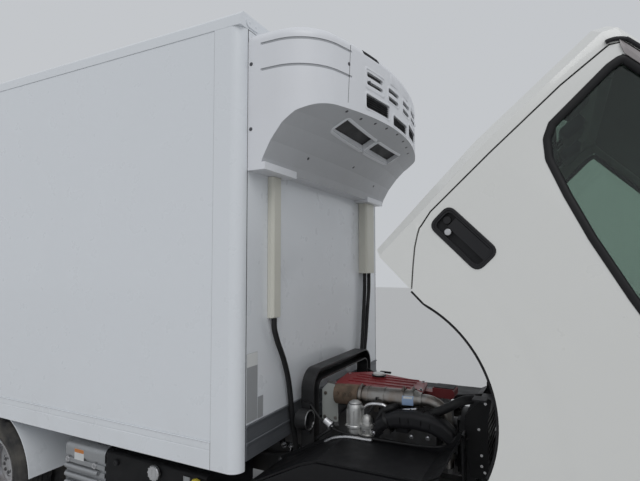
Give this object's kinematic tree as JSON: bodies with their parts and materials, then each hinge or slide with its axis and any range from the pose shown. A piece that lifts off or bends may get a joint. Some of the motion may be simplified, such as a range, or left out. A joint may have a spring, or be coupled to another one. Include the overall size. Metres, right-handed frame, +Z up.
{
  "type": "refrigerated truck",
  "caption": "Light cab-over truck with an insulated load box, a front-wall cooling unit, and its cab tilted forward over the steered axle to open the engine.",
  "frame": {"origin": "bottom centre of the whole truck's box on the ground, cab tilted", "axes": "+X forward along the truck, +Y to its left, +Z up"},
  "size_m": [5.3737, 2.06, 2.839],
  "materials": {
    "chassis_black": "satin black chassis paint with road dust",
    "cab_white": "gloss white vehicle paint",
    "lamp_glass": "clear moulded lens",
    "lamp_red": "red and amber moulded lens",
    "engine_grey": "cast, dusty grey",
    "engine_red": "deep red satin cover",
    "exhaust_metal": "heat-tinted bare steel",
    "box_white": "gloss white panel skin",
    "band_aluminium": "dull ribbed aluminium",
    "unit_white": "moulded white housing",
    "duct_beige": "beige moulded cover",
    "hose_black": "black ribbed hose",
    "glass": "greenish tinted safety glass",
    "interior_grey": "grained grey plastic",
    "seat_fabric": "dark grey woven cloth",
    "trim_black": "grained black plastic",
    "rim_silver": "silver-painted steel",
    "tyre": "black tread rubber",
    "bar_steel": "bare stainless steel"
  },
  "bodies": {
    "chassis": {"frame": "chassis_black", "front_bumper": "cab_white", "headlamps": "lamp_glass", "front_axle": "chassis_black", "rear_axle": "chassis_black", "leaf_springs": "chassis_black", "engine": "engine_grey", "head_cover": "engine_red", "exhaust_canister": "exhaust_metal", "intake": "trim_black", "gearbox_and_propshaft": "engine_grey", "radiator": "trim_black", "wheelhouse_liners": "trim_black", "cab_arch": "chassis_black", "muffler": "exhaust_metal", "side_boxes": "chassis_black", "rear_mudguards": "box_white", "rear_bumper": "chassis_black", "tail_lamps": "lamp_red", "box_floor": "box_white", "box_front_wall": "box_white", "box_side_walls": "box_white", "box_roof": "box_white", "box_rails": "box_white", "corner_posts": "box_white", "front_band": "band_aluminium", "box_rear_frame": "box_white", "cooling_unit": "unit_white", "unit_vents": "trim_black", "evaporator": "box_white", "ducts": "duct_beige", "hoses": "hose_black", "engine_fan": "trim_black"},
    "cab": {"cab_shell": "cab_white", "cab_glass": "glass", "front_grille": "trim_black", "dashboard": "interior_grey", "seats": "seat_fabric", "mirrors": "trim_black"},
    "steering_wheel": {"steering_wheel": "trim_black"},
    "cab_door_left": {"cab_door_left": "cab_white", "door_glass_left": "glass", "door_handle_left": "trim_black"},
    "box_door_left": {"box_door_left": "box_white", "lock_bar_left": "bar_steel"},
    "knuckle_left": {"knuckle_left": "engine_grey"},
    "wheel_front_left": {"rim_front_left": "rim_silver", "tyre_front_left": "tyre"},
    "wheels_rear_left": {"rims_rear_left": "rim_silver", "tyres_rear_left": "tyre"},
    "cab_door_right": {"cab_door_right": "cab_white", "door_glass_right": "glass", "door_handle_right": "trim_black"},
    "box_door_right": {"box_door_right": "box_white", "lock_bar_right": "bar_steel"},
    "knuckle_right": {"knuckle_right": "engine_grey"},
    "wheel_front_right": {"rim_front_right": "rim_silver", "tyre_front_right": "tyre"},
    "wheels_rear_right": {"rims_rear_right": "rim_silver", "tyres_rear_right": "tyre"}
  },
  "joints": [
    {"name": "cab_tilt", "type": "hinge", "parent": "chassis", "child": "cab", "pos_m": [1.95, 0, 0.7], "axis": [0, -1, 0], "range_deg": [0, 45]},
    {"name": "steering_wheel_turn", "type": "hinge", "parent": "cab", "child": "steering_wheel", "pos_m": [2.14233, -0.4, 1.40569], "axis": [0.0872, 0, 0.9962], "range_deg": [-560, 560]},
    {"name": "cab_door_left_hinge", "type": "hinge", "parent": "cab", "child": "cab_door_left", "pos_m": [2.07657, 0.85, 0.99769], "axis": [-0.7071, 0, -0.7071], "range_deg": [0, 65]},
    {"name": "box_door_left_hinge", "type": "hinge", "parent": "chassis", "child": "box_door_left", "pos_m": [-2.673, 0.922, 1.8], "axis": [0, 0, -1], "range_deg": [0, 265]},
    {"name": "steer_left", "type": "hinge", "parent": "chassis", "child": "knuckle_left", "pos_m": [1.087, 0.62, 0.355], "axis": [0, 0, 1], "range_deg": [-35, 35]},
    {"name": "roll_front_left", "type": "hinge", "parent": "knuckle_left", "child": "wheel_front_left", "pos_m": [1.087, 0.7, 0.355], "axis": [0, 1, 0], "continuous": true},
    {"name": "roll_rear_left", "type": "hinge", "parent": "chassis", "child": "wheels_rear_left", "pos_m": [-1.438, 0.652, 0.355], "axis": [0, 1, 0], "continuous": true},
    {"name": "cab_door_right_hinge", "type": "hinge", "parent": "cab", "child": "cab_door_right", "pos_m": [2.07657, -0.85, 0.99769], "axis": [0.7071, 0, 0.7071], "range_deg": [0, 65]},
    {"name": "box_door_right_hinge", "type": "hinge", "parent": "chassis", "child": "box_door_right", "pos_m": [-2.673, -0.922, 1.8], "axis": [0, 0, 1], "range_deg": [0, 265]},
    {"name": "steer_right", "type": "hinge", "parent": "chassis", "child": "knuckle_right", "pos_m": [1.087, -0.62, 0.355], "axis": [0, 0, 1], "range_deg": [-35, 35]},
    {"name": "roll_front_right", "type": "hinge", "parent": "knuckle_right", "child": "wheel_front_right", "pos_m": [1.087, -0.7, 0.355], "axis": [0, 1, 0], "continuous": true},
    {"name": "roll_rear_right", "type": "hinge", "parent": "chassis", "child": "wheels_rear_right", "pos_m": [-1.438, -0.652, 0.355], "axis": [0, 1, 0], "continuous": true}
  ],
  "couplings": [
    {"joint": "steer_right", "follows": "steer_left", "ratio": 1},
    {"joint": "steering_wheel_turn", "follows": "steer_left", "ratio": 16}
  ]
}
